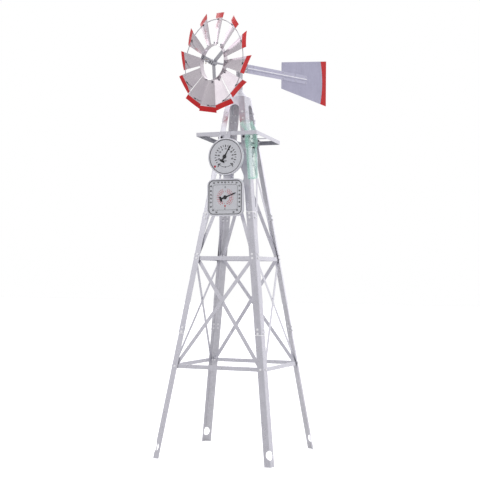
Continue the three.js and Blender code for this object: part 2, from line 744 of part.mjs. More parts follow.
const mouthFrom = GAUGE_LENGTH - 52;
const mouthShape = [28, 18]; // flare to the left, tuck on the right
const gaugeTube = () => {
  const levels = (floor, out) => [
    { z: floor, points: gaugeOutline(0, out) },
    { z: mouthFrom, points: gaugeOutline(mouthFrom, out) },
    { z: GAUGE_LENGTH - 4, points: gaugeOutline(mouthFrom, out, ...mouthShape) },
    { z: GAUGE_LENGTH + (out < 0 ? 1 : 0), points: gaugeOutline(mouthFrom, out, ...mouthShape) },
  ];
  return cut(loft(levels(0, 0)), loft(levels(GAUGE_WALL + 1, -GAUGE_WALL)));
};

// The collar round the tube, with the rib that fixes it inside the platform's corner.
const gaugeBracket = () => {
  const ringAt = (out) => (z) => ({ z, points: gaugeOutline(COLLAR_TO, out) });
  const outer = loft([COLLAR_FROM, COLLAR_TO].map(ringAt(gaugeRoom + 3)));
  const inner = loft([COLLAR_FROM - 1, COLLAR_TO + 1].map(ringAt(gaugeRoom)));
  const front = -gaugeHalf(COLLAR_TO)[1] - gaugeRoom;
  const rib = box(
    GAUGE_SHIFT - 1.5, GAUGE_SHIFT + 1.5, front - 26, front - 1, COLLAR_TO - 22, COLLAR_TO + 10,
  );
  return join(cut(outer, inner), rib);
};

const gauge = new THREE.Group();
const gaugeTilt = new THREE.Group();
gauge.rotation.z = Math.PI / 4;
gaugeTilt.position.set(-GAUGE_SHIFT, -GAUGE_FOOT_RADIUS, GAUGE_FOOT_HEIGHT);
gaugeTilt.rotation.x = -GAUGE_LEAN;
gaugeTilt.add(named('rain_gauge_tube', gaugeTube(), clearPlastic));
gaugeTilt.add(named('rain_gauge_bracket', gaugeBracket(), clearPlastic));
gauge.add(gaugeTilt);

// ---- the whole windmill, over the middle of its footprint ----

const windmill = new THREE.Group();
windmill.add(legs);
windmill.add(bracing);
windmill.add(named('platform_frame', platformFrame(), galvanised));
windmill.add(named('crown', crown(), galvanised));
windmill.add(named('dial_hanger', hanger(), galvanised));
windmill.add(dial(
  'thermometer', ROUND_DIAL_HEIGHT, roundCase(), THERMOMETER_PIVOT, 72, THERMOMETER_READING,
));
windmill.add(dial('barometer', SQUARE_DIAL_HEIGHT, squareCase(), 0, 69, BAROMETER_READING));
windmill.add(gauge);
windmill.add(headGroup);

const footprint = new THREE.Box3().setFromObject(windmill, true).getCenter(new THREE.Vector3());
windmill.position.set(-footprint.x, -footprint.y, 0);

export default windmill;
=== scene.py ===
"""An eight foot garden windmill with a weather station, dressed over its CAD frame."""

import bmesh
import bpy
import json
from math import atan2, cos, pi, radians, sin
from mathutils import Matrix, Vector


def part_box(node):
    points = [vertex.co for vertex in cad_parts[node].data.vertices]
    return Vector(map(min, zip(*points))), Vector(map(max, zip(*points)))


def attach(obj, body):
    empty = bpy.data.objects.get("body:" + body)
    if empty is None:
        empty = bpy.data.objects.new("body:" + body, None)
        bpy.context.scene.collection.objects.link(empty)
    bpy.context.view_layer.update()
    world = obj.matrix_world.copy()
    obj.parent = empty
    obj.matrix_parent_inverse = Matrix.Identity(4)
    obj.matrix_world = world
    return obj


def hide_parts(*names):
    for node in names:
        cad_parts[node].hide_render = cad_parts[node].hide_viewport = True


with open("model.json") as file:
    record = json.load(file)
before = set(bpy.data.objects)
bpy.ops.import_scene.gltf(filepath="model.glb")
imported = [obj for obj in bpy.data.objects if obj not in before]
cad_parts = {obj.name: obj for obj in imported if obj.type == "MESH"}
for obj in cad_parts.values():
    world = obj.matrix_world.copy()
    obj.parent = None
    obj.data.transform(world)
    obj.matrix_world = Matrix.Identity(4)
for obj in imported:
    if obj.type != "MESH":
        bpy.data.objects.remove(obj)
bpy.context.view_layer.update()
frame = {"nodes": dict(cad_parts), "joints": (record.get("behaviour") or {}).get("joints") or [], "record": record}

MM = 0.001
NODES = frame["nodes"]
JOINTS = {joint["name"]: joint for joint in frame["joints"]}
AXIS = Vector(JOINTS["head_yaw"]["pos_m"]) * Vector((1, 1, 0))  # foot of the tower's upright axis
ALONG_Y = Matrix.Rotation(-pi / 2, 4, "X")  # stands a body turned about Z along +Y
FACING_FRONT = Matrix.Rotation(pi / 2, 4, "X")  # stands a plate's +Z along -Y


# ---- driving dimensions, in millimetres

BASE_HALF = 341.5  # tower axis to a leg ridge, at the ground
LEAN = 0.1456
SHEET = 1.6
LEG_FLANGE = 36
LEG_SPLAY = radians(8)
LEG_NOSE = 7
LEG_SPLICES = (670, 1339)
LEG_LAP = 45
LEG_TOP = 1972
LEG_BOLT = 20
MIDDLE_OUT = 1.95  # the middle leg section lies this far outside the other two
ANCHOR_HEIGHT = 60
ANCHOR_SIZE = (36, 48)
RAIL_LEVELS = (494, 1083)
BRACE_LEVELS = (1105, 1742)
PLATFORM_HALF = 179.4
PLATFORM_TOP = 1776
PLATFORM_FALL = 0.048  # how far it falls towards the back, per unit of depth
CORNERS = ("back_right", "back_left", "front_left", "front_right")

HOOP_RADIUS = 99
HOOP_INNER = 97
HOOP_HALF = 14
RIM_RADIUS = 236.5
RIM_ROD = 2.4
RIM_PLANE = -2
BLADE_COUNT = 12
BLADE_ROOT = 99.35
BLADE_CREASE = 243.5
BLADE_TIP = 272.5
BLADE_LEAN = 3.7
BLADE_SPREAD = 0.204
BLADE_PITCH = radians(20)
BLADE_CAMBER = 0.05
BLADE_THICK = 1.2
WHEEL_PHASE = radians(10)

VANE_START = 337
VANE_END = 724
VANE_HALF = (77.5, 137.5)
VANE_SIDE = (0.3, 1.5)
BAND_START = (673.5, 689.5)  # the red band's inner edge, at the vane's corners and at its middle
BOOM_SIDE = (1.85, 3.45)
BOOM_SPAN = (58, 551)
BEAD_HALF = 6.5
BEAD_RISE = 4

DIAL_FACE = 17
DIAL_DEPTH = 22
BEZEL = 7
ROUND_RADIUS = 102
SQUARE_HALF = (106, 101.5)
SQUARE_CORNER = 36
NEEDLE_PIVOTS = {"thermometer": -6, "barometer": 0}  # across the dial from its middle
NEEDLE_LENGTHS = {"thermometer": 72, "barometer": 69}
NEEDLE_READINGS = {"thermometer": radians(29.5), "barometer": radians(69)}
PRINT = (DIAL_FACE + 0.05, DIAL_FACE + 0.22)  # back and front of the print, from the back of the case

GAUGE_FOOT = (215, 1518)
GAUGE_SHIFT = 3
GAUGE_LEAN = radians(7.9)
GAUGE_LENGTH = 315
GAUGE_HALF = (22.5, 22)
GAUGE_SPREAD = 0.006
GAUGE_MOUTH = (263, 28, 18)  # where the mouth starts, how far it flares left and tucks in on the right
GAUGE_FLARE = 46  # height over which the mouth flares
GAUGE_TAPER = 0.016
GAUGE_WALL = 2
COLLAR = (175, 239)


def face_half(height):
    """Distance from the tower's axis to a face, at a height."""
    return BASE_HALF - LEAN * height


def at(x, y, z):
    return Matrix.Translation((x, y, z))


def spun(angle, axis):
    return Matrix.Rotation(angle, 4, axis)


def quarter_turn(quarter):
    return spun(quarter * pi / 2, "Z")


def on_tower(quarter=0):
    """Tower millimetres into the row frame, a number of quarter turns round."""
    return Matrix.Translation(AXIS) @ quarter_turn(quarter) @ Matrix.Scale(MM, 4)


def facing_wind(origin):
    """A frame in millimetres at a point of the head, with -Y to the wind and +Y along the tail."""
    wind = Vector(JOINTS["wheel_spin"]["axis"])
    turn = atan2(wind.x, -wind.y)
    return Matrix.Translation(origin) @ spun(turn, "Z") @ Matrix.Scale(MM, 4)


def wheel_frame(angle=0.0):
    """The wheel's frame with +Z out along a blade, at an angle clockwise from the first one."""
    centre = Vector(JOINTS["wheel_spin"]["pos_m"])
    return facing_wind(centre) @ spun(WHEEL_PHASE + angle, "Y")


def head_frame():
    """The head's frame, with its origin on the mast's axis at the axle's height."""
    return facing_wind(AXIS + Vector((0, 0, JOINTS["wheel_spin"]["pos_m"][2])))


TOWER = ("tower", on_tower())  # a body and its frame, for make_piece
WHEEL = ("wheel", wheel_frame())
HEAD = ("head", head_frame())


# ---- camera, lights, floor

def new_object(name, data):
    made = bpy.data.objects.new(name, data)
    bpy.context.scene.collection.objects.link(made)
    return made


def make_camera():
    """The camera stands to the tower's right and looks slightly up."""
    azimuth, pitch, roll = (radians(angle) for angle in (22.59, 1.883, 0.566))
    distance, aside, height = 6.051, 0.01255, 0.9893  # metres from the tower's axis and the ground
    data = bpy.data.cameras.new("camera")
    data.sensor_width = 36
    data.lens = 81.03
    data.clip_end = 100
    camera = new_object("camera", data)
    place = Matrix.Translation(AXIS) @ spun(azimuth, "Z") @ at(aside, -distance, height)
    camera.matrix_world = place @ spun(pi / 2 + pitch, "X") @ spun(roll, "Z")
    bpy.context.scene.camera = camera


def area_light(name, place, target, size, power):
    """A square soft box, with its side in metres and its power in watts."""
    data = bpy.data.lights.new(name, "AREA")
    data.shape = "RECTANGLE"
    data.size = data.size_y = size
    data.energy = power
    light = new_object(name, data)
    aim = Vector(target) - Vector(place)
    light.matrix_world = Matrix.Translation(place) @ aim.to_track_quat("-Z", "Y").to_matrix().to_4x4()


def fill(node, inputs):
    """Sets a node's inputs, each to a number, a colour or another node's output."""
    for name, value in inputs.items():
        if isinstance(value, bpy.types.NodeSocket):
            node.id_data.links.new(value, node.inputs[name])
        else:
            node.inputs[name].default_value = value
    return node


def shader_node(near, kind, **inputs):
    """A shader node in a tree, or in the tree of another node's output."""
    return fill(near.id_data.nodes.new("ShaderNode" + kind), inputs)


def math_node(operation, *values, kind="Math", output=0):
    """A maths node's result; its first value is another node's output."""
    node = shader_node(values[0], kind)
    node.operation = operation
    return fill(node, dict(enumerate(values))).outputs[output]


def make_world():
    """A pale studio with soft bright panels for the metal to reflect, and white behind the object."""
    panels = (  # direction, how narrow it is, how bright it is
        ((-0.60, -0.62, 0.50), 12.0, 0.42),
        ((-0.50, 0.81, 0.27), 13.0, 3.10),
        ((0.93, -0.35, 0.10), 14.0, 0.85),
        ((0.10, 0.10, 1.00), 6.0, 0.30),
    )
    front_level, back_rise = 0.63, 0.52
    back_start, back_slope = 0.10, 4.5
    world = bpy.data.worlds.new("studio")
    bpy.context.scene.world = world
    world.use_nodes = True
    tree = world.node_tree
    tree.nodes.clear()
    view = shader_node(tree, "TexCoord").outputs["Generated"]
    split = shader_node(tree, "SeparateXYZ", Vector=view)
    past = math_node("SUBTRACT", split.outputs["Y"], back_start)
    behind = math_node("MAXIMUM", math_node("MULTIPLY", past, back_slope), 0.0)
    behind = math_node("MINIMUM", behind, 1.0)
    level = math_node("ADD", math_node("MULTIPLY", behind, back_rise), front_level)
    for direction, narrow, bright in panels:
        direction = Vector(direction).normalized()
        toward = math_node("DOT_PRODUCT", view, direction, kind="VectorMath", output="Value")
        shaped = math_node("POWER", math_node("MAXIMUM", toward, 0.0), narrow)
        level = math_node("ADD", math_node("MULTIPLY", shaped, bright), level)
    lit = shader_node(tree, "Background", Color=(0.98, 0.97, 1.0, 1), Strength=level)
    seen = shader_node(tree, "Background", Color=(1, 1, 1, 1))
    camera_ray = shader_node(tree, "LightPath").outputs["Is Camera Ray"]
    mix = fill(shader_node(tree, "MixShader"), {0: camera_ray, 1: lit.outputs[0], 2: seen.outputs[0]})
    shader_node(tree, "OutputWorld", Surface=mix.outputs[0])


def make_floor():
    """A pale floor, a little below the feet, that the camera sees as white."""
    size, below = 60, 0.0005
    seen_glow, lit_glow = 0.62, 0.18
    bpy.ops.mesh.primitive_plane_add(size=size, location=(0, 0, -below))
    floor = bpy.context.object
    floor.name = "floor"
    material = bpy.data.materials.new("floor")
    material.use_nodes = True
    tree = material.node_tree
    camera_ray = shader_node(tree, "LightPath").outputs["Is Camera Ray"]
    glow = math_node("ADD", math_node("MULTIPLY", camera_ray, seen_glow), lit_glow)
    fill(tree.nodes["Principled BSDF"], {
        "Base Color": (0.50, 0.50, 0.51, 1),
        "Roughness": 0.9,
        "Emission Color": (1, 1, 1, 1),
        "Emission Strength": glow,
    })
    floor.data.materials.append(material)


def make_studio():
    bpy.context.scene.view_settings.view_transform = "Standard"
    make_camera()
    make_world()
    make_floor()
    area_light("top_light", place=(0.3, -0.8, 5.5), target=(0, 0, 0.8), size=3, power=40)
    area_light("front_light", place=(-3.2, -3.7, 4.8), target=(0, 0, 1.6), size=3.4, power=26)


# ---- materials

def new_material(name):
    """A material, its shader, and the coordinates that its patterns lie on."""
    material = bpy.data.materials.new(name)
    material.use_nodes = True
    tree = material.node_tree
    return material, tree.nodes["Principled BSDF"], shader_node(tree, "TexCoord").outputs["Object"]


def darker(colour, share):
    return [channel * (1 - share) for channel in colour]


def ramp(value, low, high, start=0.0, stop=1.0):
    node = shader_node(value, "ValToRGB", Fac=value)
    for element, position, colour in zip(node.color_ramp.elements, (start, stop), (low, high)):
        element.position = position
        element.color = (*colour, 1)
    return node.outputs[0]


def mottled(place, scale, low, high, detail=3.0, start=0.35, stop=0.65):
    """A noise that runs between two colours."""
    noise = shader_node(place, "TexNoise", Vector=place, Scale=scale, Detail=detail)
    return ramp(noise.outputs["Fac"], low, high, start, stop)


def uneven(place, scale, low, high, detail=3.0):
    """A roughness that wanders between two values."""
    return mottled(place, scale, (low,) * 3, (high,) * 3, detail)


def mixed(first, second, share=1.0, blend="MIX"):
    mix = shader_node(first, "Mix")
    mix.data_type = "RGBA"
    mix.blend_type = blend
    return fill(mix, {"Factor": share, "A": first, "B": second}).outputs["Result"]


def multiplied(first, second):
    return mixed(first, second, blend="MULTIPLY")


def bumped(place, scale, strength, distance=0.0005):
    """A normal that waves over the surface."""
    noise = shader_node(place, "TexNoise", Vector=place, Scale=scale, Detail=4.0)
    bump = shader_node(place, "Bump", Height=noise.outputs["Fac"], Strength=strength, Distance=distance)
    return bump.outputs[0]


def sheet_metal(name, colour, metallic, roughness, spangle=0.10, cloud=0.10):
    """Zinc coated steel: soft clouds, faint crystals, rolling streaks and slight waves."""
    material, shader, place = new_material(name)
    base = mottled(place, 9.0, darker(colour, cloud), colour, 4.0, 0.3, 0.7)
    streak = shader_node(place, "Mapping", Vector=place, Scale=(1, 1, 0.06)).outputs[0]
    base = multiplied(base, mottled(streak, 160.0, (0.94,) * 3, (1, 1, 1)))
    crystals = shader_node(place, "TexVoronoi", Vector=place, Scale=110.0)
    shade = shader_node(place, "SeparateColor", Color=crystals.outputs["Color"])
    fill(shader, {
        "Base Color": multiplied(base, ramp(shade.outputs[0], (1 - spangle,) * 3, (1, 1, 1))),
        "Roughness": uneven(place, 35.0, *roughness, 5.0),
        "Metallic": metallic,
        "Normal": bumped(place, 22.0, 0.05),
    })
    return material


def brushed_blade(name, colour, metallic, roughness):
    """Bright rolled sheet, with fine streaks that run out from the wheel's centre."""
    material, shader, place = new_material(name)
    to_wheel = (wheel_frame() @ Matrix.Scale(1 / MM, 4)).inverted()
    mapping = shader_node(place, "Mapping", Vector=place, Location=to_wheel.translation,
                          Rotation=to_wheel.to_euler())
    split = shader_node(place, "SeparateXYZ", Vector=mapping.outputs[0])
    angle = math_node("ARCTAN2", split.outputs["X"], split.outputs["Z"])
    across = math_node("MULTIPLY", angle, 9.0)
    polar = shader_node(place, "CombineXYZ", X=across, Y=split.outputs["Y"]).outputs[0]
    streaks = mottled(polar, 14.0, darker(colour, 0.14), colour, 6.0, 0.3, 0.7)
    clouds = mottled(place, 14.0, (0.92, 0.91, 0.93), (1, 1, 1))
    fill(shader, {
        "Base Color": multiplied(streaks, clouds),
        "Roughness": uneven(polar, 22.0, *roughness, 4.0),
        "Metallic": metallic,
        "Normal": bumped(place, 18.0, 0.05, 0.001),
    })
    return material


def enamel(name, colour, roughness, speck, metallic, coat, gloss=0.5):
    """Paint: slightly uneven in colour, with a fine orange peel."""
    material, shader, place = new_material(name)
    fill(shader, {
        "Base Color": mottled(place, 60.0, darker(colour, speck), colour),
        "Roughness": uneven(place, 25.0, roughness * 0.85, roughness * 1.25),
        "Metallic": metallic,
        "Specular IOR Level": gloss,
        "Coat Weight": coat,
        "Coat Roughness": 0.15,
        "Normal": bumped(place, 350.0, 0.05),
    })
    return material


def clear_plastic(name, colour, roughness, opacity, speck, gloss, edge):
    """A thin clear moulding, more opaque and more tinted where seen edge on."""
    material, shader, place = new_material(name)
    tint = mottled(place, 40.0, darker(colour, speck), colour)
    if edge:
        facing = shader_node(place, "LayerWeight", Blend=0.35).outputs["Facing"]
        slant = math_node("POWER", facing, 2.0)
        opacity = math_node("ADD", math_node("MULTIPLY", slant, edge), opacity)
        tint = mixed(tint, (0.16, 1.0, 0.62, 1), slant)
    fill(shader, {
        "Base Color": tint,
        "Roughness": uneven(place, 90.0, roughness * 0.8, roughness * 1.4),
        "Alpha": opacity,
        "Specular IOR Level": gloss,
        "IOR": 1.49,
        "Normal": bumped(place, 60.0, 0.03),
    })
    return material


METALS = {  # colour, metallic, roughness, depth of the crystals, depth of the clouds
    "galvanised": ((0.69, 0.685, 0.735), 0.80, (0.26, 0.36), 0.03, 0.06),
    "galvanised_boom": ((0.55, 0.545, 0.665), 0.5, (0.40, 0.52), 0.04, 0.04),
    # a darker copy of the galvanised metal: painted shade on the platform's inward faces
    "galvanised_painted_shade": ((0.34, 0.345, 0.375), 0.6, (0.35, 0.50)),
    # a paler, less metallic copy of the galvanised metal: painted shading on the legs' inner sides
    "galvanised_inside_painted_shading": ((0.76, 0.755, 0.79), 0.45, (0.30, 0.42)),
    # near-white and barely metallic: painted highlight on the leg splices and the tower's bolts
    "painted_highlight_white": ((0.95, 0.95, 0.96), 0.1, (0.30, 0.42), 0.0, 0.02),
    "zinc": ((0.50, 0.50, 0.53), 0.9, (0.25, 0.40), 0.05),
    "vane_sheet": ((0.47, 0.465, 0.585), 0.5, (0.42, 0.55), 0.05, 0.05),
    "bright_bolt": ((0.85, 0.85, 0.87), 0.9, (0.18, 0.30), 0.03),
    "brass": ((0.42, 0.30, 0.17), 0.9, (0.3, 0.45), 0.03),
}
PAINTS = {  # colour, roughness, unevenness, metallic, coat, gloss
    "red_paint": ((0.60, 0.012, 0.014), 0.36, 0.12, 0.0, 0.05, 0.3),
    "dial_metal": ((0.70, 0.70, 0.74), 0.38, 0.04, 0.3, 0.0),
    "dial_face": ((0.72, 0.73, 0.76), 0.55, 0.04, 0.1, 0.0),
    "black_print": ((0.006, 0.006, 0.009), 0.7, 0.3, 0.0, 0.0),
    "red_print": ((0.62, 0.03, 0.06), 0.6, 0.2, 0.0, 0.0),
    "black_paint": ((0.01, 0.01, 0.012), 0.35, 0.3, 0.0, 0.3),
    "dark_bolt": ((0.035, 0.033, 0.036), 0.4, 0.2, 0.5, 0.0),
}
CLEARS = {  # colour, roughness, opacity, unevenness, gloss, added opacity edge on
    "lens": ((0.02, 0.02, 0.025), 0.05, 0.04, 0.06, 0.2, 0.0),
    "clear_green": ((0.70, 1.0, 0.90), 0.10, 0.10, 0.06, 0.5, 0.8),
}
MATERIALS = {"blade_sheet": brushed_blade("blade_sheet", (0.68, 0.63, 0.655), 0.88, (0.18, 0.30))}
for make, looks in ((sheet_metal, METALS), (enamel, PAINTS), (clear_plastic, CLEARS)):
    MATERIALS.update({name: make(name, *look) for name, look in looks.items()})


# ---- mesh tools, in millimetres

class Shape:
    """Vertices and faces that grow part by part into one mesh."""

    def __init__(self):
        self.verts = []
        self.faces = []

    def add(self, made, place=None):
        verts, faces = made
        start = len(self.verts)
        self.verts += [place @ Vector(v) if place else Vector(v) for v in verts]
        self.faces += [[start + i for i in face] for face in faces]
        return self

    def mesh(self, name, place):
        mesh = bpy.data.meshes.new(name)
        mesh.from_pydata([place @ vert for vert in self.verts], [], self.faces)
        return mesh


def loft(rings, around=False):
    """Joins closed outlines with the same number of points; around joins the last to the first."""
    count = len(rings[0])
    verts = [point for ring in rings for point in ring]
    faces = []
    for row in range(len(rings) if around else len(rings) - 1):
        for i in range(count):
            a, b = row * count + i, row * count + (i + 1) % count
            up = (row + 1) % len(rings) * count
            faces.append((a, b, up + (i + 1) % count, up + i))
    if not around:
        faces.append(tuple(reversed(range(count))))
        faces.append(tuple(range((len(rings) - 1) * count, len(rings) * count)))
    return verts, faces


def circle(radius, height, steps=48):
    angles = [2 * pi * step / steps for step in range(steps)]
    return [(radius * cos(a), radius * sin(a), height) for a in angles]


def turned(profile, steps=48, closed=False):
    """A body turned about Z from [radius, height] pairs."""
    return loft([circle(radius, height, steps) for radius, height in profile], around=closed)


def level(points, height):
    return [(x, y, height) for x, y in points]


def plate(points, low, high):
    return loft([level(points, low), level(points, high)])


def round_corners(half_x, half_y, radius, steps=10, middle=(0, 0)):
    points = []
    for turn, (sign_x, sign_y) in enumerate(((1, 1), (-1, 1), (-1, -1), (1, -1))):
        centre = (sign_x * (half_x - radius) + middle[0], sign_y * (half_y - radius) + middle[1])
        for step in range(steps + 1):
            angle = (turn + step / steps) * pi / 2
            points.append((centre[0] + radius * cos(angle), centre[1] + radius * sin(angle)))
    return points


def rectangle(left, right, bottom, top):
    return [(left, bottom), (right, bottom), (right, top), (left, top)]


def band(outer, inner, low, high):
    """A flat closed band between two outlines with the same number of points."""
    return loft([level(outer, low), level(outer, high), level(inner, high), level(inner, low)], around=True)


def tube(path, radius, sides=10):
    """A round rod along a line of points."""
    path = [Vector(point) for point in path]
    rings = []
    across = None
    for i, point in enumerate(path):
        along = (path[min(i + 1, len(path) - 1)] - path[max(i - 1, 0)]).normalized()
        if across is None:
            across = along.orthogonal().normalized()
        across = (across - along * across.dot(along)).normalized()
        other = along.cross(across)
        rings.append([point + across * x + other * y for x, y, _ in circle(radius, 0, sides)])
    return loft(rings)


def hexagon(radius, height, steps=24):
    """A ring of points round a hexagon, with the same count as a circle of as many steps."""
    points = []
    for step in range(steps):
        angle = 2 * pi * step / steps
        reach = radius * cos(pi / 6) / cos(angle % (pi / 3) - pi / 6)
        points.append((reach * cos(angle), reach * sin(angle), height))
    return points


def hex_body(radius, low, high):
    edge = 0.12 * (high - low)
    flat = radius * cos(pi / 6)
    return loft([
        circle(flat * 0.98, low, 24),
        hexagon(radius, low + edge, 24),
        hexagon(radius, high - edge, 24),
        circle(flat * 0.98, high, 24),
    ])


def add_bolt(shape, place, grip, size=3.0):
    """A hexagon bolt through metal `grip` thick, its head standing along the place's +Z."""
    shape.add(turned([(size * 2.1, 0), (size * 2.2, 0.3), (size * 2.2, 0.9), (size * 2.1, 1.2)], 24), place)
    shape.add(hex_body(size * 1.85, 1.2, 1.2 + size * 1.3), place)
    shape.add(hex_body(size * 1.85, -grip - size * 1.5, -grip), place)
    tip = -grip - size * 2.3
    shape.add(turned([(size * 0.8, tip), (size, tip + 0.6), (size, -grip)], 24), place)


def add_rivet(shape, place, radius, rise=None):
    """A domed rivet head on a surface at the place's +Z."""
    rise = rise or radius * 0.6
    rings = [circle(radius * cos(t), rise * sin(t), 20) for t in (0, 0.35, 0.75, 1.15, 1.45)]
    shape.add(loft(rings), place)


def pointing(point, direction):
    """A place at a point, with its +Z along a direction."""
    turn = Vector(direction).normalized().to_track_quat("Z", "Y").to_matrix().to_4x4()
    return Matrix.Translation(Vector(point)) @ turn


def make_piece(name, shape, slot, body, place, replaces=(), bevel=0.0, sharp=35):
    """A piece of the object from a shape, or from one body, in the place's millimetres."""
    shape = shape if isinstance(shape, Shape) else Shape().add(shape)
    mesh = shape.mesh(name, place)
    made = bmesh.new()
    made.from_mesh(mesh)
    bmesh.ops.recalc_face_normals(made, faces=made.faces)
    made.to_mesh(mesh)
    made.free()
    mesh.shade_smooth()
    mesh.set_sharp_from_angle(angle=radians(sharp))
    mesh.materials.append(MATERIALS[slot])
    piece = new_object(name, mesh)
    if bevel:
        add_bevel(piece, bevel)
    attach(piece, body)
    if replaces:
        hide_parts(*replaces)
    return piece


def add_bevel(piece, width):
    bevel = piece.modifiers.new("worn_edges", "BEVEL")
    bevel.width = width * MM
    bevel.segments = 2
    bevel.limit_method = "ANGLE"
    bevel.angle_limit = radians(40)
    bevel.harden_normals = True


# ---- dials

def front_frame(x, y, z):
    """Millimetres at a point of the front: x right, y up, z out."""
    return at(x, y, z) @ FACING_FRONT @ Matrix.Scale(MM, 4)


def dial_frame(name):
    """The front's millimetres at the middle of the back of a dial's case."""
    low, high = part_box(f"{name}_case")
    middle = (low + high) / 2
    return front_frame(middle.x, high.y, middle.z)


def dial_case(outline):
    """A pressed case, open behind, from an outline function of how far it is drawn in."""
    profile = [
        (1.5, DIAL_FACE - 1.5), (1.5, 0.5), (1.2, 0), (0.4, 0), (0, 0.5),
        (0, DIAL_DEPTH - 4.5), (0.3, DIAL_DEPTH - 2.6), (1.1, DIAL_DEPTH - 1.1), (2.4, DIAL_DEPTH - 0.3),
        (3.6, DIAL_DEPTH), (4.8, DIAL_DEPTH - 0.3), (5.7, DIAL_DEPTH - 1.2), (6.2, DIAL_DEPTH - 2.4),
        (BEZEL - 0.3, DIAL_FACE + 0.4), (BEZEL, DIAL_FACE),
    ]
    return loft([level(outline(inset), height) for inset, height in profile])


def flat_circle(radius, steps, middle=(0, 0)):
    return [(x + middle[0], y + middle[1]) for x, y, _ in circle(radius, 0, steps)]


def round_outline(inset):
    return flat_circle(ROUND_RADIUS - inset, 96)


def square_outline(inset):
    corner = max(SQUARE_CORNER - inset, 2)
    return round_corners(SQUARE_HALF[0] - inset, SQUARE_HALF[1] - inset, corner, 14)


def lettering(text, size):
    """Figures as a flat mesh about the origin."""
    curve = bpy.data.curves.new("figures", "FONT")
    curve.body = text
    curve.size = size
    curve.align_x = "CENTER"
    curve.align_y = "CENTER"
    curve.resolution_u = 3
    curve.offset = 0.05 * size
    carrier = bpy.data.objects.new("figures", curve)
    mesh = carrier.to_mesh()
    made = [tuple(v.co) for v in mesh.vertices], [tuple(p.vertices) for p in mesh.polygons]
    carrier.to_mesh_clear()
    bpy.data.objects.remove(carrier)
    bpy.data.curves.remove(curve)
    return made


def print_bar(shape, start, end, width):
    """A printed line between two points of a dial's face."""
    start, end = Vector(start), Vector(end)
    side = (end - start).normalized().orthogonal() * width / 2
    corners = [start - side, end - side, end + side, start + side]
    shape.add(plate([tuple(corner) for corner in corners], *PRINT))


def polar(radius, angle):
    """A point of the face, by its angle clockwise from upright."""
    return (radius * sin(angle), radius * cos(angle))


def print_tick(shape, start, end, angle, width):
    """A printed line that runs outwards, between two distances from the face's middle."""
    print_bar(shape, polar(start, angle), polar(end, angle), width)


def print_dash(shape, height, half, width, middle=0):
    """A printed level line."""
    print_bar(shape, (middle - half, height), (middle + half, height), width)


def print_arc(shape, radius, start, end, width, steps=40):
    angles = [start + (end - start) * step / steps for step in range(steps + 1)]
    inner = [polar(radius - width / 2, angle) for angle in angles]
    outer = [polar(radius + width / 2, angle) for angle in angles]
    shape.add(plate(inner + outer[::-1], *PRINT))


def print_figures(shape, text, size, spot):
    shape.add(lettering(text, size), at(*spot, PRINT[1]))


def thermometer_print():
    """A dark ring just inside the bezel as painted shadow, a scale with figures, end marks with an arc between
    them, dashes and a red dot.
    """
    black, red = Shape(), Shape()
    # painted shadow where the bezel meets the face, drawn with the print
    black.add(band(flat_circle(94.4, 96), flat_circle(91.4, 96), *PRINT))
    sweep = radians(135)
    marks, lowest, step = 20, -40, 5
    for mark in range(marks + 1):
        angle = -sweep + 2 * sweep * mark / marks
        long = mark % 2 == 0
        print_tick(black, 52 if long else 55, 64.5, angle, 4.8 if long else 3.4)
        if long and 0 < mark < marks:
            print_figures(black, str(lowest + step * mark), 11, polar(42, angle))
    for side in (-1, 1):
        print_tick(black, 47, 72, side * radians(141), 4.2)
    print_arc(black, 57, radians(146), radians(214), 2.2)
    print_tick(black, 54, 61, pi, 4)
    print_dash(black, -23, 8, 2.8, middle=-1)
    print_dash(black, -27.5, 4, 1.2, middle=-1)
    red.add(plate(flat_circle(6.5, 32, (-62, -53)), *PRINT))
    return black, red


def print_frame(shape, half_x, half_y, corner, width):
    """A dark line round the square face, for the printed inner frame and for the painted shadow along the bezel.
    """
    outer = round_corners(half_x, half_y, corner, 12)
    inner = round_corners(half_x - width, half_y - width, corner - width, 12)
    shape.add(band(outer, inner, *PRINT))


def print_pressures(shape):
    """Figures and short ticks along the square face's rounded border."""
    path_x, path_y, corner = 84.5, 81, 20
    labels, lowest, step = 23, 950, 5
    sweep = radians(148)
    for label in range(labels):
        angle = -sweep + 2 * sweep * label / (labels - 1)
        x, y = sin(angle), cos(angle)
        size_x, size_y = max(abs(x), 1e-6), max(abs(y), 1e-6)
        reach = min(path_x / size_x, path_y / size_y)
        over = max(0.0, reach * size_x - (path_x - corner))
        up = max(0.0, reach * size_y - (path_y - corner))
        reach *= 1 - 0.15 * over * up / corner**2  # pulled in at the corners
        print_figures(shape, str(lowest + step * label)[-2:], 11, (reach * x, reach * y))
        print_tick(shape, reach * 0.875, reach * 0.875 * 1.03, angle, 1.4)


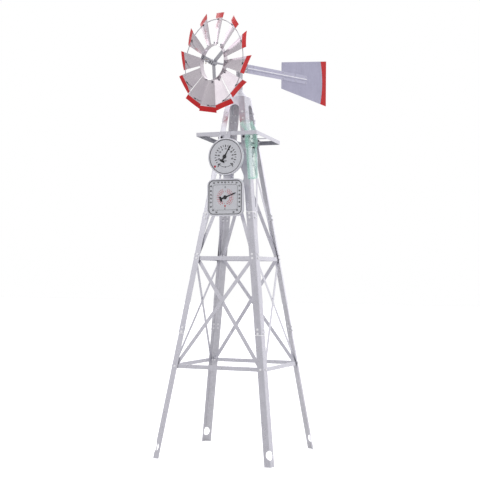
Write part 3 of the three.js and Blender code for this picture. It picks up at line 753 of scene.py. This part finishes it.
def barometer_print():
    """An outer frame just inside the bezel as painted shadow, an inner printed frame, figures, red rings of dashes
    in place of the maker's pattern, and short dashes.
    """
    black, red = Shape(), Shape()
    # painted shadow along the bezel's inner edge, drawn with the print
    print_frame(black, 97.5, 93, 28, 3.6)
    print_frame(black, 73, 69.5, 12, 1.4)
    print_pressures(black)
    rings = ((28, 18, 2.6, 0.35), (38, 22, 3.6, 0.35), (47, 26, 2.6, 0.4))
    for radius, count, width, gap in rings:
        for mark in range(count):
            angle = 2 * pi * (mark + 0.5) / count
            at_top, at_bottom = abs(sin(angle / 2)) < 0.10, cos(angle) < -0.93
            if not at_top and not at_bottom:
                half_turn = pi / count * (1 - gap)
                print_arc(red, radius, angle - half_turn, angle + half_turn, width, steps=4)
    spokes = 16
    for mark in range(spokes):
        print_tick(red, 30, 36, 2 * pi * (mark + 0.25) / spokes, 2.0)
    pendant = [(0, -40), (5, -45), (3, -52), (0, -55), (-3, -52), (-5, -45)]
    red.add(plate(pendant, *PRINT))
    for height, half, width in (
        (52, 2.5, 2.2), (56, 4.5, 2.2), (60, 2.0, 2.2), (-58, 2.5, 2.0), (-62.5, 4.5, 2.0), (-66, 2.0, 2.0),
    ):
        print_dash(black, height, half, width)
    return black, red


def dial_lens(outline):
    """A shallow domed window held in the bezel."""
    low = DIAL_FACE + 3.4
    inner = BEZEL + 0.6
    profile = [(inner, low), (inner, low + 0.8), (inner + 12, low + 1.3), (inner + 30, low + 1.55)]
    return loft([level(outline(inset), height) for inset, height in profile])


def make_dial(name, outline, prints):
    place = dial_frame(name)
    case = dial_case(outline)
    make_piece(f"{name}_shell", case, "dial_metal", "tower", place, [f"{name}_case"], sharp=50)
    edge = outline(BEZEL + 0.05)
    face = plate(edge, DIAL_FACE - 0.4, DIAL_FACE + 0.04)
    make_piece(f"{name}_face", face, "dial_face", "tower", place)
    for colour, print_shape in zip(("black", "red"), prints):
        make_piece(f"{name}_print_{colour}", print_shape, f"{colour}_print", "tower", place)
    make_piece(f"{name}_lens", dial_lens(outline), "lens", "tower", place)


def make_needle(name):
    """A pointer with a spear tip and a crescent tail, over its boss."""
    pivot = at(NEEDLE_PIVOTS[name], 0, 0)
    place = dial_frame(name) @ pivot @ spun(-NEEDLE_READINGS[name], "Z")
    length = NEEDLE_LENGTHS[name]
    side = [
        (0, length), (1.8, length - 3), (4.4, length - 14), (3.8, length - 20), (2.9, length - 34),
        (3.4, 22), (4.6, 6), (5.0, -10), (4.4, -21), (9, -20.5), (14, -24), (17, -34), (12, -32),
        (7, -33.4),
    ]
    outline = side + [(0, -34)] + [(-x, y) for x, y in reversed(side[1:])]
    boss = [(11, 0.5), (11, 1.6), (10.2, 2.2), (8.5, 2.6), (2.4, 2.8)]
    needle = Shape().add(plate(outline, DIAL_FACE + 0.4, DIAL_FACE + 1.35))
    needle.add(turned([(radius, DIAL_FACE + rise) for radius, rise in boss]))
    make_piece(f"{name}_pointer_arm", needle, "black_paint", JOINTS[f"{name}_turn"]["child"], place,
               [f"{name}_needle"], bevel=0.2)


def make_hanger():
    """The strap that carries both dials, and its two slotted screws."""
    low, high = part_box("dial_hanger")
    half = (high - low) / MM / 2
    place = front_frame(*(low + high) / 2)
    strap = plate(round_corners(half.x, half.z, 6, 6), -half.y, half.y)
    make_piece("dial_hanger_strap", strap, "galvanised", "tower", place, ["dial_hanger"], bevel=0.4)
    screws = Shape()
    for height in (half.z - 12, -half.z + 9):
        head = at(0, height, half.y)
        screws.add(turned([(4.2, 0), (4.2, 0.8), (3.6, 1.9), (2.2, 2.5)], 24), head)
        screws.add(plate(rectangle(-3, 3, -0.5, 0.5), 2.4, 2.7), head)
    make_piece("dial_hanger_screws", screws, "bright_bolt", "tower", place)


# ---- wheel

def blade_point(radius, share, side):
    """A point of a blade: share runs from -1 to 1 across it, side is -1 in front and 1 behind."""
    half = BLADE_SPREAD * radius
    thick = BLADE_THICK / 2 * side
    bow = -BLADE_CAMBER * half * (1 - share * share)
    x, y = half * share, bow + thick
    turn = -BLADE_PITCH
    past = max(0.0, radius - BLADE_CREASE) / (BLADE_TIP - BLADE_CREASE)
    return (
        x * cos(turn) - y * sin(turn),
        x * sin(turn) + y * cos(turn) + BLADE_LEAN * past,
        radius,
    )


def blade_sheet(rows, grow=0.0):
    """A blade between rows of [radius, rise], where a rise lifts both sides towards the front."""
    across = [-1 + step / 8 for step in range(17)]
    rings = []
    for radius, rise in rows:
        front = [blade_point(radius, share, -1 - grow) for share in across]
        back = [blade_point(radius, share, 1 + grow) for share in reversed(across)]
        rings.append([(x, y - rise, z) for x, y, z in front + back])
    return loft(rings)


def make_blades():
    """Bare sheets with a rolled ridge just before the crease, and the painted tips past it."""
    root, ridge = BLADE_ROOT + 2, BLADE_CREASE - 3.6
    rows = [(BLADE_ROOT, 0)] + [(root + (ridge - root) * step / 6, 0) for step in range(7)]
    rows += [(ridge + 0.9, 0.55), (ridge + 1.8, 0.75), (ridge + 2.7, 0.55), (BLADE_CREASE, 0)]
    sheet = blade_sheet(rows)
    tip_radii = (BLADE_CREASE + 0.02, BLADE_CREASE + 1.2, BLADE_TIP - 1.2, BLADE_TIP - 0.05)
    tip = blade_sheet([(radius, 0) for radius in tip_radii], 0.25)
    for number in range(BLADE_COUNT):
        place = wheel_frame(2 * pi * number / BLADE_COUNT)
        label = f"blade_{number + 1:02d}"
        make_piece(f"{label}_sheet", sheet, "blade_sheet", "wheel", place, [label], sharp=28)
        make_piece(f"{label}_tip", tip, "red_paint", "wheel", place, sharp=40)


def make_blade_fixings():
    """Root tabs with their rivets on the hoop, one rivet per blade dark as painted shade beside its tab, and dark
    sleeves round the rim where it passes through the blades: painted shadow in the slots.
    """
    tab_at, tab_half, tab_middle, tab_face = 9.5, (4.5, 6.5), 8, 1.6
    shadow_half, steps = 9, 4
    tabs, pale, dark, slot_shadows = Shape(), Shape(), Shape(), Shape()
    for number in range(BLADE_COUNT):
        turn = spun(2 * pi * number / BLADE_COUNT, "Y")
        pitch = turn @ at(0, 0, HOOP_RADIUS) @ spun(BLADE_PITCH, "Z")
        for side in (-1, 1):
            foot = pitch @ at(side * tab_at, -1.4, 0) @ FACING_FRONT
            tabs.add(plate(round_corners(*tab_half, 2, 4, (0, tab_middle)), 0.2, tab_face), foot)
            head = foot @ at(0, tab_middle + 1.5, tab_face)
            # the rivet on each blade's +1 side is near-black: painted shade beside its tab
            add_rivet(dark if side > 0 else pale, head, 2.2)
        # dark sleeve round the rim at the blade's slot: painted shadow
        middle = turn @ at(0, RIM_PLANE, RIM_RADIUS)
        along = [step * shadow_half / steps for step in range(-steps, steps + 1)]
        path = [(x, 0, -(x**2) / (2 * RIM_RADIUS)) for x in along]
        slot_shadows.add(tube(path, RIM_ROD + 0.9, 14), middle)
    make_piece("blade_root_tabs", tabs, "zinc", *WHEEL, bevel=0.3)
    make_piece("blade_root_rivets", pale, "zinc", *WHEEL)
    make_piece("blade_root_shaded_rivets", dark, "dark_bolt", *WHEEL)
    make_piece("rim_slot_shadows", slot_shadows, "dark_bolt", *WHEEL)


def make_wheel_rings():
    """The hoop of strip with its edges eased, and the rim of round wire."""
    half, ease_in, ease_up = HOOP_HALF, 0.6, 0.7
    edge = [
        (HOOP_RADIUS, -half + ease_up), (HOOP_RADIUS, half - ease_up), (HOOP_RADIUS - ease_in, half),
        (HOOP_INNER + ease_in, half), (HOOP_INNER, half - ease_up), (HOOP_INNER, -half + ease_up),
        (HOOP_INNER + ease_in, -half), (HOOP_RADIUS - ease_in, -half),
    ]
    hoop = Shape().add(turned(edge, 120, closed=True), ALONG_Y)
    make_piece("wheel_hoop_band", hoop, "blade_sheet", *WHEEL, ["wheel_hoop"])
    section = [(RIM_RADIUS + x, RIM_PLANE + y) for x, y in flat_circle(RIM_ROD, 12)]
    rim = Shape().add(turned(section, 180, closed=True), ALONG_Y)
    make_piece("wheel_rim_wire", rim, "zinc", *WHEEL, ["wheel_rim"])


def make_hub_fixings():
    """Feet that fix the spokes inside the hoop, and the axle's washer and split pin."""
    spokes, first = 3, radians(45)
    foot_half, foot_bottom, rivet_apart = (8.5, 11), -2.6, 7.5
    pin_radius = 1.1
    feet, rivets, pin = Shape(), Shape(), Shape()
    for spoke in range(spokes):
        turn = spun(first + 2 * pi * spoke / spokes, "Y")
        foot = turn @ at(0, 0, HOOP_INNER)
        feet.add(plate(round_corners(*foot_half, 2, 4), foot_bottom, -0.35), foot)
        for side in (-rivet_apart, rivet_apart):
            inner = foot @ at(0, side, foot_bottom) @ spun(pi, "X")
            add_rivet(rivets, inner, 2.6)
            add_rivet(rivets, foot @ at(0, side, 2.0), 2.6, 1.1)
    washer = turned([(7, 0), (12.5, 0), (12.5, 1.4), (7, 1.4)], 40, closed=True)
    feet.add(washer, at(0, -30, 0) @ ALONG_Y)
    bent = [
        (-9, -57, 7), (-4, -55.6, 8.6), (-1.6, -55, 7.5), (-1, -55, 0), (-1, -55, -9), (-3.5, -55.5, -15),
    ]
    for side in (1, -1):
        pin.add(tube([(side * x, y, z) for x, y, z in bent], pin_radius))
    make_piece("spoke_feet", feet, "zinc", *WHEEL, bevel=0.3)
    make_piece("spoke_rivets", rivets, "bright_bolt", *WHEEL)
    make_piece("axle_split_pin", pin, "brass", *WHEEL)


# ---- tail and head

SIDEWAYS = Matrix(((0, 0, 1, 0), (1, 0, 0, 0), (0, 1, 0, 0), (0, 0, 0, 1)))  # plate x along +Y, y along +Z


def vane_half(along):
    """Half the vane's height at a distance behind the mast."""
    share = (along - VANE_START) / (VANE_END - VANE_START)
    return VANE_HALF[0] + (VANE_HALF[1] - VANE_HALF[0]) * share


def make_vane():
    """The vane's sheet, and the painted band at its rear with a bowed inner edge."""
    front, rear = VANE_HALF
    end = VANE_END - 0.3
    corners = [(VANE_START, -front), (end, -rear), (end, rear), (VANE_START, front)]
    sheet = Shape().add(plate(corners, *VANE_SIDE), SIDEWAYS)
    make_piece("tail_vane_sheet", sheet, "vane_sheet", *HEAD, ["tail_vane"], bevel=0.25)
    edge = []
    steps = 16
    for step in range(steps + 1):
        share = -1 + 2 * step / steps
        along = BAND_START[0] + (BAND_START[1] - BAND_START[0]) * (1 - share * share)
        edge.append((along, share * vane_half(along)))
    end = VANE_END - 0.15
    outline = [(end, -rear), (end, rear)] + edge[::-1]
    painted = Shape().add(plate(outline, VANE_SIDE[0] - 0.2, VANE_SIDE[1] + 0.2), SIDEWAYS)
    make_piece("tail_vane_band", painted, "red_paint", *HEAD)


def make_boom_bead_highlight():
    """A bright metal skin over the upper crest of the bead rolled along the boom: a painted highlight."""
    start, end = BOOM_SPAN
    steps, skin = 8, 0.12
    angles = [radians(8 + 64 * step / steps) for step in range(steps + 1)]
    crest = [(cos(angle), sin(angle)) for angle in angles]
    inner = [(BOOM_SIDE[1] + BEAD_RISE * x, BEAD_HALF * z) for x, z in crest]
    outer = [(BOOM_SIDE[1] + (BEAD_RISE + skin) * x, (BEAD_HALF + skin) * z) for x, z in crest]
    rings = [[(x, along, z) for x, z in inner + outer[::-1]] for along in (start + 1, end - 1)]
    # bright metal over the upper crest only: painted highlight
    make_piece("tail_boom_bead_highlight", loft(rings), "bright_bolt", *HEAD)


def make_tail_fixings():
    """Rivets on both sides, where the boom meets the head's tongue and the vane."""
    tongue_side = -1.5
    rivets = Shape()
    spots = [(along, height, tongue_side, 3.4, 1.2) for along in (72, 106) for height in (15, -15)]
    spots += [(along, height, VANE_SIDE[0], 3.2, None) for along in (350, 455, 540) for height in (-18, 18)]
    for along, height, left, radius, rise in spots:
        add_rivet(rivets, pointing((BOOM_SIDE[1], along, height), (1, 0, 0)), radius, rise)
        add_rivet(rivets, pointing((left, along, height), (-1, 0, 0)), radius, rise)
    make_piece("tail_rivets", rivets, "zinc", *HEAD)


# ---- legs and their bolts

def corner_line(offset, steps=10):
    """The leg's outer line at the back right corner, from the ridge, moved out by an offset."""
    sine, cosine = sin(LEG_SPLAY), cos(LEG_SPLAY)
    centre = -LEG_NOSE / (sine + cosine)
    radius = LEG_NOSE + offset
    line = [(-cosine * LEG_FLANGE + sine * offset, sine * LEG_FLANGE + cosine * offset)]
    for step in range(steps + 1):
        angle = pi / 2 - LEG_SPLAY + (2 * LEG_SPLAY - pi / 2) * step / steps
        line.append((centre + radius * cos(angle), centre + radius * sin(angle)))
    line.append((sine * LEG_FLANGE + cosine * offset, -cosine * LEG_FLANGE + sine * offset))
    return line


def leg_section(low, high, out, thick=SHEET):
    line = corner_line(out) + corner_line(out - thick)[::-1]
    rings = [[(x + face_half(z), y + face_half(z), z) for x, y in line] for z in (low, high)]
    return loft(rings)


def drill(piece, made, place):
    """Cuts a shape out of a piece."""
    cutter = new_object("drill", Shape().add(made).mesh("drill", place))
    cut = piece.modifiers.new("cut", "BOOLEAN")
    cut.object = cutter
    cut.operation = "DIFFERENCE"
    cut.solver = "EXACT"
    bpy.context.view_layer.update()
    result = bpy.data.meshes.new_from_object(piece.evaluated_get(bpy.context.evaluated_depsgraph_get()))
    piece.modifiers.clear()
    piece.data = result
    bpy.data.objects.remove(cutter)


def make_legs():
    """Twelve leg sections, with their anchor holes, and their inner sides in a paler, less metallic copy of the
    metal: painted shading that sets how bright those sides look.
    """
    stretches = {
        "lower": (0, LEG_SPLICES[0] + LEG_LAP, 0),
        "middle": (*LEG_SPLICES, MIDDLE_OUT),
        "upper": (LEG_SPLICES[1] - LEG_LAP, LEG_TOP, 0),
    }
    wide, tall = (size / 2 for size in ANCHOR_SIZE)
    ridge = face_half(ANCHOR_HEIGHT)
    hole = turned([(1, -60), (1, 60)], 40)
    spot = at(ridge, ridge, ANCHOR_HEIGHT) @ spun(pi / 4, "Z")
    spot = spot @ spun(pi / 2, "Y") @ Matrix.Diagonal((tall, wide, 1, 1))
    for quarter, corner in enumerate(CORNERS):
        place = on_tower(quarter)
        inward = place.to_3x3() @ Vector((-1, -1, 0))
        for part, (low, high, out) in stretches.items():
            name = f"leg_{corner}_{part}"
            section = leg_section(low, high, out)
            leg = make_piece(f"{name}_sheet", section, "galvanised", "tower", place, [name])
            if part == "lower":
                drill(leg, hole, place @ spot)
            # the inner faces take a separate copy of the metal: painted shading, not a different finish
            leg.data.materials.append(MATERIALS["galvanised_inside_painted_shading"])
            for face in leg.data.polygons:
                face.material_index = int(face.normal.dot(inward) > 0.3 * inward.length)
            add_bevel(leg, 0.7 if part == "middle" else 0.35)


def make_splice_highlights():
    """Thin near-white strips at the ends of each leg's middle section, where it laps over the other two: a painted
    highlight where those edges catch the light.
    """
    tall, stands, thick = 5, 0.25, 0.22
    low, high = LEG_SPLICES
    edges = Shape()
    for quarter in range(4):
        for start, end in ((low, low + tall), (high - tall, high)):
            edges.add(leg_section(start, end, MIDDLE_OUT + stands, thick), quarter_turn(quarter))
    piece = make_piece("leg_splice_highlights", edges, "bright_bolt", *TOWER)
    # the strips take a near-white, barely metallic material: painted highlight
    piece.data.materials[0] = MATERIALS["painted_highlight_white"]


def flange_spot(quarter, side, height, along, out):
    """A spot on a leg flange of the face some quarter turns from the front, in millimetres; side is
    1 on the face's right leg and -1 on its left one, seen from outside."""
    sine, cosine = sin(LEG_SPLAY), cos(LEG_SPLAY)
    half = face_half(height)
    point = Vector((
        side * (half - cosine * along + sine * out),
        -(half + sine * along + cosine * out),
        height,
    ))
    normal = Vector((side * sine, -cosine, LEAN))
    return quarter_turn(quarter) @ pointing(point, normal)


def leg_at_back(quarter, side):
    """Whether a face's right (1) or left (-1) leg is one of the two at the tower's back."""
    return quarter == 2 or (quarter, side) in ((1, 1), (3, -1))


def make_tower_bolts():
    """The tower's bolts; a grip is the thickness of metal that a bolt goes through."""
    rail_grip, low_brace_grip, top_brace_grip, platform_grip = 11.5, 12.5, 10.5, 4.2
    splice_steps, platform_drop, platform_out = (11, 33), 14, 2.4
    crown_heights, crown_line, crown_size = (1862, 1900), 17, 2.6
    lap_grip = SHEET + MIDDLE_OUT
    bright, dark = Shape(), Shape()
    for quarter in range(4):
        for side in (-1, 1):
            spots = [
                (RAIL_LEVELS[0], 0, rail_grip),
                (RAIL_LEVELS[1], MIDDLE_OUT, rail_grip + MIDDLE_OUT),
                (BRACE_LEVELS[0], MIDDLE_OUT, low_brace_grip),
                (BRACE_LEVELS[1], 0, top_brace_grip),
            ]
            for splice, way in zip(LEG_SPLICES, (1, -1)):
                spots += [(splice + way * step, MIDDLE_OUT, lap_grip) for step in splice_steps]
            for height, out, grip in spots:
                add_bolt(bright, flange_spot(quarter, side, height, LEG_BOLT, out), grip)
            depth = face_half(PLATFORM_TOP) * (1 if leg_at_back(quarter, side) else -1)
            height = PLATFORM_TOP - platform_drop - PLATFORM_FALL * (PLATFORM_HALF + depth)
            add_bolt(dark, flange_spot(quarter, side, height, LEG_BOLT, platform_out), platform_grip)
            for height in crown_heights:
                spot = flange_spot(quarter, side, height, crown_line, MIDDLE_OUT)
                add_bolt(bright, spot, lap_grip, crown_size)
    piece = make_piece("tower_bolts", bright, "bright_bolt", *TOWER, sharp=30)
    # the tower's bolts take the near-white material: painted glints on their heads
    piece.data.materials[0] = MATERIALS["painted_highlight_white"]
    make_piece("platform_bolts", dark, "dark_bolt", *TOWER, sharp=30)


def make_cross_rivets():
    """The rivets where the upper braces cross, on both sides of each pair."""
    outer_inset, inner_inset = 2.7, 7.05
    low = face_half(BRACE_LEVELS[0]) - LEG_BOLT
    high = face_half(BRACE_LEVELS[1]) - LEG_BOLT
    height = BRACE_LEVELS[0] + (BRACE_LEVELS[1] - BRACE_LEVELS[0]) * low / (low + high)
    rivets = Shape()
    for quarter in range(4):
        for inset, way in ((outer_inset, 1), (inner_inset, -1)):
            spot = pointing((0, -face_half(height) + inset, height), (0, -way, LEAN * way))
            add_rivet(rivets, quarter_turn(quarter) @ spot, 5)
    make_piece("brace_rivets", rivets, "zinc", *TOWER)


# ---- rain gauge

def gauge_frame():
    """The rain gauge's frame: z up the tube and -y out of the platform's corner."""
    foot = at(-GAUGE_SHIFT, -GAUGE_FOOT[0], GAUGE_FOOT[1])
    return on_tower() @ spun(pi / 4, "Z") @ foot @ spun(-GAUGE_LEAN, "X")


def gauge_front(z):
    """How far the tube's front stands from its middle, at a height."""
    return GAUGE_HALF[1] + z * GAUGE_TAPER


def gauge_ring(z, out, taper_at=None, flare=0.0, tuck=0.0):
    """The tube's outline at a height, grown by a distance, wider on the left and tucked in on the right."""
    base = z if taper_at is None else taper_at
    half = GAUGE_HALF[0] + base * GAUGE_SPREAD + out + (flare - tuck) / 2
    middle = (-(flare + tuck) / 2, 0)
    return level(round_corners(half, gauge_front(base) + out, 4.6 + out * 0.5, 5, middle), z)


def gauge_rings(out, floor):
    """The tube's outlines from its floor up to the end of the flare."""
    mouth, flare, tuck = GAUGE_MOUTH
    rings = [gauge_ring(floor, out - 1.2, 0), gauge_ring(floor + 1.2, out, 1.2)]
    rings += [gauge_ring(mouth * share, out) for share in (0.25, 0.5, 0.75, 1.0)]
    steps = 7
    for step in range(1, steps + 1):
        share = step / steps
        ease = share * share * (3 - 2 * share)
        rings.append(gauge_ring(mouth + GAUGE_FLARE * share, out, mouth, flare * ease, tuck * ease))
    return rings


def make_gauge():
    """The clear tube with its flared mouth, open at the top."""
    top, floor, ease = GAUGE_LENGTH, 3, 0.6
    rows = ((top - 3, 0), (top - ease, 0), (top, -ease), (top, 0.4 - GAUGE_WALL))
    lip = [gauge_ring(z, out, *GAUGE_MOUTH) for z, out in rows]
    walls = loft(gauge_rings(0, 0) + lip + gauge_rings(-GAUGE_WALL, floor)[::-1])
    make_piece("rain_gauge_body", walls, "clear_green", "rain_gauge", gauge_frame(),
               ["rain_gauge_tube"], sharp=40)


def make_gauge_scale():
    """Printed marks with a figure at every tenth, and two dark marks near the scale's top."""
    start, pitch, marks = 14, 5, 41
    right, half_line, rise = 11, 0.45, 0.25
    scale = Shape()
    for mark in range(marks):
        z = start + mark * pitch
        spot = at(0, -gauge_front(z) - 0.05, z) @ FACING_FRONT
        left = right - (6 if mark % 5 else 12)
        scale.add(plate(rectangle(left, right, -half_line, half_line), 0, rise), spot)
        if mark % 10 == 0 and mark:
            scale.add(lettering(str(mark // 2), 9), spot @ at(-6.5, 0, 0.2))
    for z in (165, 189):
        spot = at(0, -gauge_front(z) - 0.05, z) @ FACING_FRONT
        scale.add(plate(round_corners(6, 4.5, 1.5, 3, (2, 0)), 0, rise), spot)
    make_piece("rain_gauge_scale", scale, "black_print", "rain_gauge", gauge_frame())


def make_collar():
    """The bracket's clear sleeve round the tube, with the rib that stands out from its front."""
    thick, room, ease_out, ease_in = 3, 0.6, 0.5, 0.4
    low, high = COLLAR
    rows = (
        (low + ease_out, thick), (high - ease_out, thick), (high, thick - ease_out), (high, ease_in),
        (high - ease_in, 0), (low + ease_in, 0), (low, ease_in), (low, thick - ease_out),
    )
    sleeve = loft([gauge_ring(z, room + out, high) for z, out in rows], around=True)
    rib_half, rib_reach = (1.5, 12.5), 13.5
    rib_middle = (GAUGE_SHIFT, -gauge_front(high) - room - rib_reach)
    rib = plate(round_corners(*rib_half, 1, 3, rib_middle), high - 22, high + 10)
    make_piece("rain_gauge_collar", Shape().add(sleeve).add(rib), "clear_green", "tower", gauge_frame(),
               ["rain_gauge_bracket"], sharp=40)


# ---- the CAD nodes that are kept

def soften_tree():
    """A modifier that joins split vertices and smooths round surfaces, but leaves real edges."""
    group = bpy.data.node_groups.new("soften", "GeometryNodeTree")
    for way in ("INPUT", "OUTPUT"):
        group.interface.new_socket("Geometry", in_out=way, socket_type="NodeSocketGeometry")

    def node(kind, inputs, **settings):
        made = group.nodes.new(kind)
        for name, value in settings.items():
            setattr(made, name, value)
        return fill(made, inputs)

    start = node("NodeGroupInput", {}).outputs[0]
    bare = node("GeometryNodeRemoveAttribute", {"Geometry": start, "Name": "custom_normal"}).outputs[0]
    weld = node("GeometryNodeMergeByDistance", {"Geometry": bare, "Distance": 0.00002}).outputs[0]
    faces = node("GeometryNodeSetShadeSmooth", {"Geometry": weld}).outputs[0]
    angle = node("GeometryNodeInputMeshEdgeAngle", {}).outputs["Unsigned Angle"]
    flat = node("FunctionNodeCompare", {"A": angle, "B": radians(32)}, operation="LESS_THAN")
    smooth = {"Geometry": faces, "Shade Smooth": flat.outputs["Result"]}
    edges = node("GeometryNodeSetShadeSmooth", smooth, domain="EDGE").outputs[0]
    node("NodeGroupOutput", {0: edges})
    return group


def shade_inward(node):
    """Gives the faces that look at the tower's axis a darker copy of the metal: painted shade where the platform's
    inner sides lie under its shelf.
    """
    node.data.materials.append(MATERIALS["galvanised_painted_shade"])
    turn = node.matrix_world.to_3x3()
    for face in node.data.polygons:
        inward = (AXIS - node.matrix_world @ face.center) * Vector((1, 1, 0))
        face.material_index = int((turn @ face.normal).dot(inward.normalized()) > 0.5)


def dress_frame():
    """Gives every CAD node the material of its slot, the boom a lighter copy and the platform painted shade on its
    inward faces, and softens those that stay in view.
    """
    group = soften_tree()
    for row in frame["record"]["subparts"]:
        name = row["node"]
        node = NODES[name]
        node.data.materials.clear()
        look = "galvanised_boom" if name == "tail_boom" else row["material_slot"]
        node.data.materials.append(MATERIALS[look])
        # the platform's inward faces take painted shade
        if name == "platform_frame":
            shade_inward(node)
        if not node.hide_render:
            node.modifiers.new("soften", "NODES").node_group = group
            add_bevel(node, 0.3)


make_studio()
make_legs()
make_splice_highlights()
make_tower_bolts()
make_cross_rivets()
make_hanger()
make_dial("thermometer", round_outline, thermometer_print())
make_dial("barometer", square_outline, barometer_print())
make_needle("thermometer")
make_needle("barometer")
make_gauge()
make_gauge_scale()
make_collar()
make_blades()
make_blade_fixings()
make_wheel_rings()
make_hub_fixings()
make_vane()
make_boom_bead_highlight()
make_tail_fixings()
dress_frame()
